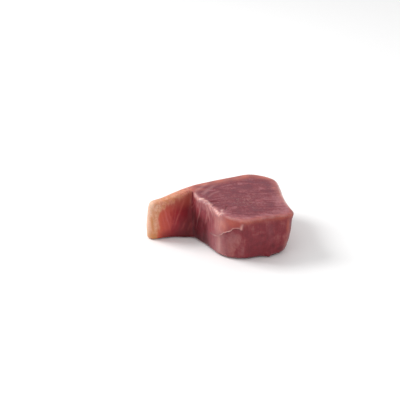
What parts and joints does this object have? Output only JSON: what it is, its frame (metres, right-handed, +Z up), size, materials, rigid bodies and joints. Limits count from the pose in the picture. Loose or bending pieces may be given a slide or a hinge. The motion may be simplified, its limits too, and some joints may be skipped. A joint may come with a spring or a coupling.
{
  "type": "raw tuna steak",
  "caption": "Thick slice of raw tuna loin with a rounded block of muscle and a thin curled belly flap, lying flat on its cut face",
  "frame": {"origin": "centre of the steak's box in plan, at its lower cut face", "axes": "+X along the steak from the belly flap's end to the spine side, +Y towards the skin side, +Z up through its thickness"},
  "size_m": [0.101, 0.0808, 0.0305],
  "materials": {
    "flesh": "moist raw flesh, soft sheen"
  },
  "bodies": {
    "root": {"tuna_steak": "flesh"}
  },
  "joints": []
}
